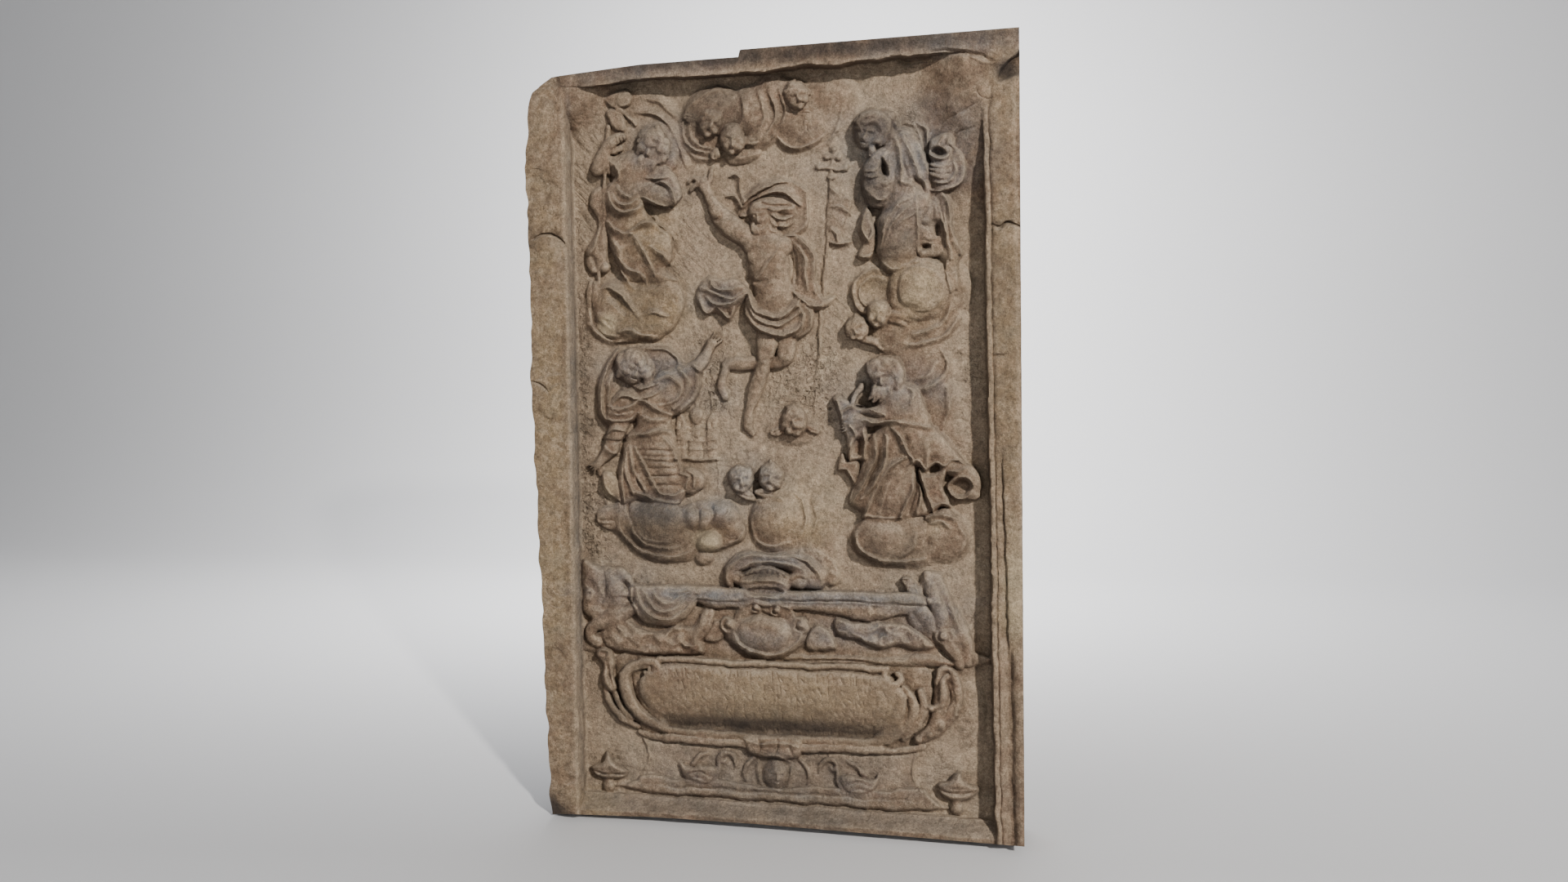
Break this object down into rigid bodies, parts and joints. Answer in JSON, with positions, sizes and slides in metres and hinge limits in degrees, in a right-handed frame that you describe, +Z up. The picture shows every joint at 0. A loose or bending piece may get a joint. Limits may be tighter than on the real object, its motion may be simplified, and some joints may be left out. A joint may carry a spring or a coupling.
{
  "type": "stone relief panel",
  "caption": "Upright carved stone panel with a raised, worn frame and a sunk field of figures, clouds and a tomb, for fixing to a wall.",
  "frame": {"origin": "middle of the flat back, where the panel lies against its wall", "axes": "+X to the right seen from the front, +Z up along the panel's height, carved face towards -Y"},
  "size_m": [1.561, 0.2311, 2.4454],
  "materials": {
    "sandstone": "worn carved sandstone"
  },
  "bodies": {
    "root": {"relief_panel": "sandstone"}
  },
  "joints": []
}
